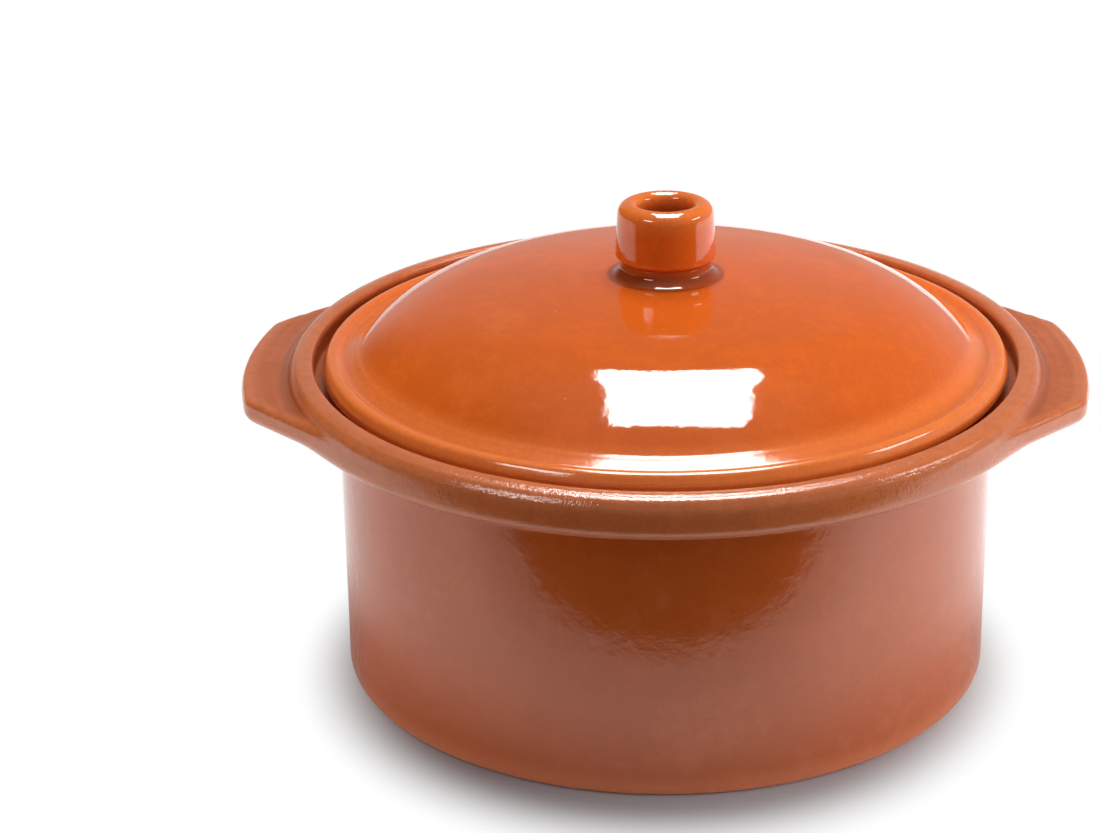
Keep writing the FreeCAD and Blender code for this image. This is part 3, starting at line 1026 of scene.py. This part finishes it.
def flat_card(name, corners, material):
    """A flat card in the studio through corners."""
    mesh = bpy.data.meshes.new(name)
    mesh.from_pydata(corners, [], [tuple(range(len(corners)))])
    mesh.materials.append(material)
    card = placed(name, mesh)
    return card


def square(reach, level):
    """The corners of a level square round the axis."""
    return [
        (-reach, -reach, level), (reach, -reach, level),
        (reach, reach, level), (-reach, reach, level),
    ]


def only_in_glosses(thing):
    """Let a thing be seen in glosses alone, and throw no light or shadow."""
    thing.visible_camera = False
    thing.visible_diffuse = False
    thing.visible_transmission = False
    thing.visible_shadow = False
    thing.visible_volume_scatter = False


def lamp(name, centre, target, width, length, radiance, seen_as):
    """A soft rectangular lamp, seen_as "gloss" or as "light" alone."""
    data = bpy.data.lights.new(name, "AREA")
    data.shape = "RECTANGLE"
    data.size, data.size_y = width, length
    data.energy = radiance * math.pi * width * length
    thing = placed(name, data)
    thing.location = centre
    aim = Vector(target) - Vector(centre)
    thing.rotation_mode = "QUATERNION"
    thing.rotation_quaternion = aim.to_track_quat("-Z", "Y")
    thing.visible_camera = False
    thing.visible_glossy = seen_as == "gloss"
    thing.visible_diffuse = seen_as == "light"


# Floor. Where the table ends in front of the pot, it throws little light back.
# Seen by the camera, it is clean white outside the shadow's oval, which is
# narrower from side to side by its squeeze, and inside the oval darker paper
# paints the shadow deeper.

WHITE = colour(1.0, 1.0, 1.0)
FLOOR_REACH = 4.0
TABLE_FRONT = -0.225
FLOOR_FRONT_BLUR = 0.02
PAPER_FIBRE = (60, 2.0, 0.5)
PAPER_DARK = colour(0.955, 0.955, 0.96)
PAPER_PALE = colour(0.97, 0.97, 0.975)
PAPER_SHADOW_DEEPENED = colour(0.51, 0.50, 0.52)
PAPER_IN_FRONT = colour(0.06, 0.06, 0.06)
PAPER_ROUGHNESS = 0.9
SHADOW_X = -0.0015
SHADOW_Y = -0.012
SHADOW_SQUEEZE = 1.09
SHADOW_EDGE = (0.112, 0.151)


def make_floor():
    """A white paper floor that keeps the pot's shadow."""
    material = bpy.data.materials.new("floor_paper")
    tree = Tree(material)
    place = tree.place()
    x, y, _ = tree.parts(place)
    path = tree.add("ShaderNodeLightPath")
    by_camera = path.outputs["Is Camera Ray"]
    shade = tree.mix(tree.noise(place, *PAPER_FIBRE), PAPER_DARK, PAPER_PALE)
    # The camera sees darker paper: a painted shadow that deepens the pot's own
    shade = tree.mix(by_camera, shade, PAPER_SHADOW_DEEPENED)
    front = tree.span(y, TABLE_FRONT + FLOOR_FRONT_BLUR, TABLE_FRONT - FLOOR_FRONT_BLUR)
    bounced = tree.times(front, path.outputs["Is Diffuse Ray"])
    shade = tree.mix(bounced, shade, PAPER_IN_FRONT)
    paper = tree.add("ShaderNodeBsdfPrincipled", Base_Color=shade, Roughness=PAPER_ROUGHNESS)
    paper.inputs["Specular IOR Level"].default_value = 0.0
    away = tree.length(
        tree.times(tree.plus(x, -SHADOW_X), SHADOW_SQUEEZE), tree.plus(y, -SHADOW_Y),
    )
    clean = tree.times(tree.span(away, *SHADOW_EDGE), by_camera)
    tree.finish(tree.mix_shaders(clean, paper.outputs[0], tree.glow(WHITE, 1.0)))
    flat_card("floor", square(FLOOR_REACH, 0), material)


# What the glaze mirrors of the lit table: how it brightens from left to right and
# darkens towards its front end, and how it fades in round the pot

TABLE_GLOSS_REACH = 2.2
TABLE_GLOSS_LEVEL = 0.0008
TABLE_GLOSS = colour(1.0, 0.99, 0.98)
TABLE_FRONT_BLUR = 0.008
TABLE_SIDES = (-0.35, 0.35, 0.95, 1.5)
TABLE_DUSK = (-0.14, -0.215, 1.0, 0.62)
TABLE_FADE_IN = (0.125, 0.24)


def make_table_gloss():
    """A glow on the floor for glosses alone."""
    material = bpy.data.materials.new("table_gloss")
    tree = Tree(material)
    x, y, _ = tree.parts(tree.place())
    front = tree.span(y, TABLE_FRONT + TABLE_FRONT_BLUR, TABLE_FRONT - TABLE_FRONT_BLUR)
    strength = tree.times(tree.span(x, *TABLE_SIDES), tree.minus(1.0, front))
    strength = tree.times(strength, tree.span(y, *TABLE_DUSK))
    clear = tree.add("ShaderNodeBsdfTransparent").outputs[0]
    share = tree.span(tree.length(x, y), *TABLE_FADE_IN)
    tree.finish(tree.mix_shaders(share, clear, tree.glow(TABLE_GLOSS, strength)))
    card = flat_card("table_gloss", square(TABLE_GLOSS_REACH, TABLE_GLOSS_LEVEL), material)
    only_in_glosses(card)


# The tent's cloth, by the heading (x, y, z) from the axis: its glow from left to
# right, its glow overhead, and the glow of its rear wall, which has a left and a
# front end and a dark seam sloping up to the rear

TENT_RADIUS = 3.0
TENT_COLUMNS = 64
TENT_ROWS = 24
TENT_SIDES = (-0.75, -0.30, 0.01, 0.12)
TENT_OVERHEAD = (0.78, 0.95, 0.0, 0.15)
REAR_WALL = (0.14, 0.62, 0.31, 0.0)
REAR_WALL_LEFT = (-0.60, -0.36)
REAR_WALL_FRONT = (-0.2, 0.2)
SEAM_SLOPE = 0.84
SEAM_UPPER = (0.02, 0.005)
SEAM_LOWER = (-0.015, 0.0)
SEAM_SHARE = 0.5


def make_tent():
    """The studio tent that the glaze mirrors above the table."""
    material = bpy.data.materials.new("tent_cloth")
    tree = Tree(material)
    heading = tree.add("ShaderNodeVectorMath", {"operation": "NORMALIZE"})
    tree.feed(heading.inputs[0], tree.place())
    x, y, z = tree.parts(heading.outputs[0])
    roof = tree.plus(tree.span(x, *TENT_SIDES), tree.span(z, *TENT_OVERHEAD))
    wall = tree.span(z, *REAR_WALL, smooth=False)
    wall = tree.times(wall, tree.span(x, *REAR_WALL_LEFT))
    wall = tree.times(wall, tree.span(y, *REAR_WALL_FRONT))
    over = tree.minus(z, tree.times(y, SEAM_SLOPE))
    seam = tree.times(tree.span(over, *SEAM_UPPER), tree.span(over, *SEAM_LOWER))
    tone = tree.times(tree.plus(wall, roof), tree.minus(1.0, tree.times(seam, SEAM_SHARE)))
    tree.finish(tree.glow(WHITE, tone))

    turns = np.arange(TENT_COLUMNS) * 2 * math.pi / TENT_COLUMNS
    rises = np.linspace(0, math.pi / 2, TENT_ROWS + 1)[:-1]
    points = [
        (TENT_RADIUS * math.cos(rise) * math.cos(turn),
         TENT_RADIUS * math.cos(rise) * math.sin(turn),
         TENT_RADIUS * math.sin(rise))
        for rise in rises for turn in turns
    ] + [(0, 0, TENT_RADIUS)]
    rows = np.arange(TENT_ROWS * TENT_COLUMNS).reshape(TENT_ROWS, TENT_COLUMNS)
    after = np.roll(rows, -1, axis=1)
    faces = np.stack([rows[:-1], after[:-1], after[1:], rows[1:]], axis=-1)
    faces = faces.reshape(-1, 4).tolist()
    faces += [(*pair, len(points) - 1) for pair in zip(rows[-1].tolist(), after[-1].tolist())]
    mesh = bpy.data.meshes.new("tent")
    mesh.from_pydata(points, [], faces)
    mesh.materials.append(material)
    tent = placed("tent", mesh)
    only_in_glosses(tent)


# The overhead window: the middle of its frame, the way that its sides run, and
# half its width at places along them. Its card glows so strongly in glosses, and
# its lamp lights the pot.

WINDOW_MIDDLE = Vector((0.048, 0.3425, 1.297))
WINDOW_ALONG = Vector((0.0, 0.9, 0.436))
WINDOW_FAR = 0.803
WINDOW_NEAR = -0.592
WINDOW_HALF_WIDTHS = (
    (WINDOW_FAR, 0.302), (0.40, 0.315), (0.0, 0.265), (-0.48, 0.268), (WINDOW_NEAR, 0.248),
)
WINDOW_GLOW = 17.0
WINDOW_LAMP_WIDTH = 0.54
WINDOW_LAMP_RADIANCE = 7.1


def window_spot(across, along):
    """A spot in the window's plane."""
    return WINDOW_MIDDLE + Vector((across, 0.0, 0.0)) + WINDOW_ALONG * along


def make_window():
    """What the glaze mirrors of the window, and the light that it throws."""
    material = bpy.data.materials.new("window_glow")
    tree = Tree(material)
    tree.finish(tree.glow(WHITE, WINDOW_GLOW))
    corners = [window_spot(half, along) for along, half in WINDOW_HALF_WIDTHS]
    corners += [window_spot(-half, along) for along, half in reversed(WINDOW_HALF_WIDTHS)]
    only_in_glosses(flat_card("window", corners, material))
    middle = window_spot(0.0, (WINDOW_FAR + WINDOW_NEAR) / 2)
    below = middle + Vector((0.0, WINDOW_ALONG.z, -WINDOW_ALONG.y))
    lamp(
        "window_light", middle, below, WINDOW_LAMP_WIDTH, WINDOW_FAR - WINDOW_NEAR,
        WINDOW_LAMP_RADIANCE, "light",
    )


# Panels that light the pot from both sides, and glints that its rim mirrors

GLINT_AWAY = 1.3
GLINT_TARGET = (0.0, 0.0, 0.12)
GLINT_WIDTH = 0.45
GLINT_LENGTH = 0.20
GLINT_RADIANCE = 10.0


def glint(name, turn, rise):
    """A lamp for glosses, turned to the right from the front and raised, in degrees."""
    turn, rise = math.radians(turn), math.radians(rise)
    level = GLINT_AWAY * math.cos(rise)
    centre = (level * math.sin(turn), -level * math.cos(turn), GLINT_AWAY * math.sin(rise))
    lamp(name, centre, GLINT_TARGET, GLINT_WIDTH, GLINT_LENGTH, GLINT_RADIANCE, "gloss")


def make_studio():
    """The floor, what the glaze mirrors, and the lamps."""
    make_floor()
    make_table_gloss()
    make_tent()
    make_window()
    lamp(
        "right_panel", centre=(1.1, -0.1, 0.35), target=(0.0, -0.05, 0.1),
        width=1.0, length=0.7, radiance=3.7, seen_as="light",
    )
    lamp(
        "left_panel", centre=(-0.75, -0.1, 0.06), target=(0.0, -0.05, 0.06),
        width=0.8, length=0.12, radiance=4.7, seen_as="light",
    )
    glint("left_glint", turn=-45, rise=38)
    glint("right_glint", turn=83, rise=32)


WORLD_LIGHT = colour(0.33, 0.33, 0.335)


def make_world():
    """White to the eye and in glosses, and a soft light from all round."""
    world = bpy.data.worlds.new("studio")
    bpy.context.scene.world = world
    tree = Tree(world)
    path = tree.add("ShaderNodeLightPath")
    seen = tree.plus(path.outputs["Is Camera Ray"], path.outputs["Is Glossy Ray"])
    seen = tree.math("ADD", seen, path.outputs["Is Transmission Ray"], clamp=True)
    shade = tree.mix(seen, WORLD_LIGHT, WHITE)
    background = tree.add("ShaderNodeBackground", Color=shade, Strength=1.0)
    tree.finish(background.outputs[0], "ShaderNodeOutputWorld")


# The camera: its sensor and lens in millimetres, how far its frame lies off its
# middle, where it stands, and how far it is raised from looking straight down

CAMERA_SENSOR = 36.0
CAMERA_LENS = 83.09
CAMERA_SHIFT = -0.1051
CAMERA_PLACE = (0.0, -0.86936, 0.44304)
CAMERA_RAISED = math.radians(67.94)


def make_camera():
    """The camera at the photograph's viewing angle."""
    data = bpy.data.cameras.new("camera")
    data.sensor_width = CAMERA_SENSOR
    data.lens = CAMERA_LENS
    data.shift_x = CAMERA_SHIFT
    camera = placed("camera", data)
    camera.location = CAMERA_PLACE
    camera.rotation_euler = (CAMERA_RAISED, 0.0, 0.0)
    bpy.context.scene.camera = camera


pot = make_pot()
lid = make_lid()
pot.data.materials.append(glaze("pot_glaze", POT_FINISH))
lid.data.materials.append(glaze("lid_glaze", LID_FINISH))
make_studio()
make_world()
make_camera()
bpy.context.scene.view_settings.view_transform = "Standard"
